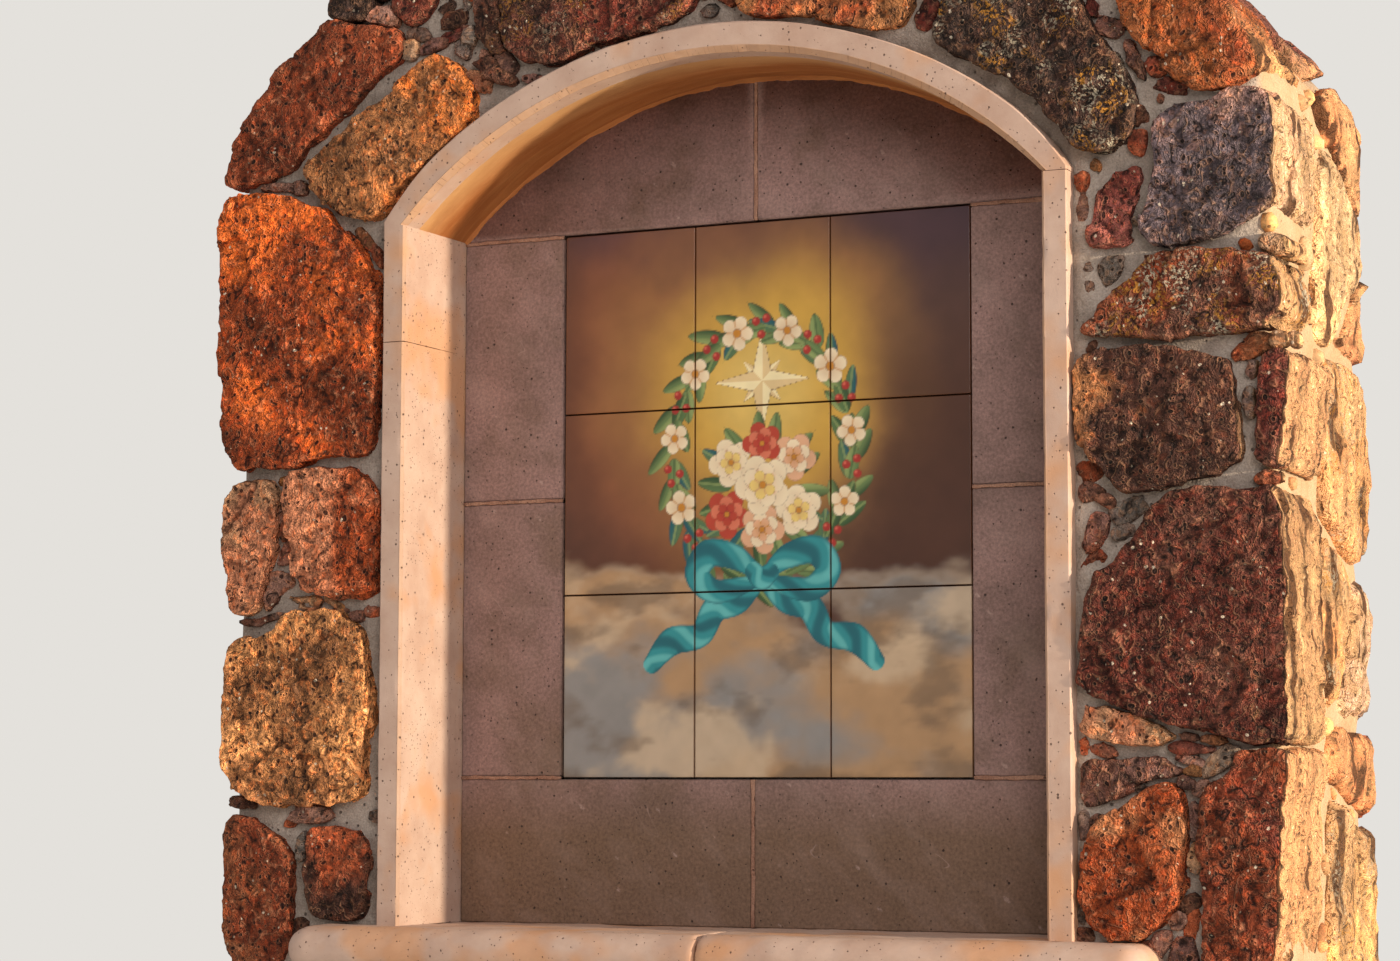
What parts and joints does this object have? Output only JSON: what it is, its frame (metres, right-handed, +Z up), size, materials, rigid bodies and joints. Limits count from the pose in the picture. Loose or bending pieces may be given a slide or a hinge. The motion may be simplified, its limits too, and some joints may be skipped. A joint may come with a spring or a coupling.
{
  "type": "wayside shrine",
  "caption": "Free-standing rubble-stone wayside shrine with a segmental-arched niche, dressed stone frame and sill, slab-lined back and a glazed tile panel.",
  "frame": {"origin": "middle of the masonry's footprint at ground level", "axes": "+Z up, front of the niche towards -Y, +X to the right of someone facing the niche"},
  "size_m": [1.514, 0.52, 2.604],
  "materials": {
    "rubble_masonry": "rough volcanic rubble in reds, browns and ochres",
    "mortar": "rough grey lime and cement mortar, recessed",
    "dressed_stone": "smooth sawn pale pink stone with small dark pits",
    "plaster": "trowelled ochre plaster",
    "slab_stone": "sawn grey-violet stone with dark pits and pale scratches",
    "glazed_tile": "painted and glazed, satin gloss"
  },
  "bodies": {
    "root": {"base": "rubble_masonry", "pier_left": "rubble_masonry", "pier_right": "rubble_masonry", "back_wall": "rubble_masonry", "crown": "rubble_masonry", "sill_left": "dressed_stone", "sill_right": "dressed_stone", "jamb_left_lower": "dressed_stone", "jamb_left_upper": "dressed_stone", "jamb_right": "dressed_stone", "arch_stone": "dressed_stone", "arch_soffit": "plaster", "slab_lunette_left": "slab_stone", "slab_lunette_right": "slab_stone", "slab_left_upper": "slab_stone", "slab_left_lower": "slab_stone", "slab_right_upper": "slab_stone", "slab_right_lower": "slab_stone", "slab_foot_left": "slab_stone", "slab_foot_right": "slab_stone", "tile_bed": "mortar", "tile_row1_col1": "glazed_tile", "tile_row1_col2": "glazed_tile", "tile_row1_col3": "glazed_tile", "tile_row2_col1": "glazed_tile", "tile_row2_col2": "glazed_tile", "tile_row2_col3": "glazed_tile", "tile_row3_col1": "glazed_tile", "tile_row3_col2": "glazed_tile", "tile_row3_col3": "glazed_tile"}
  },
  "joints": []
}
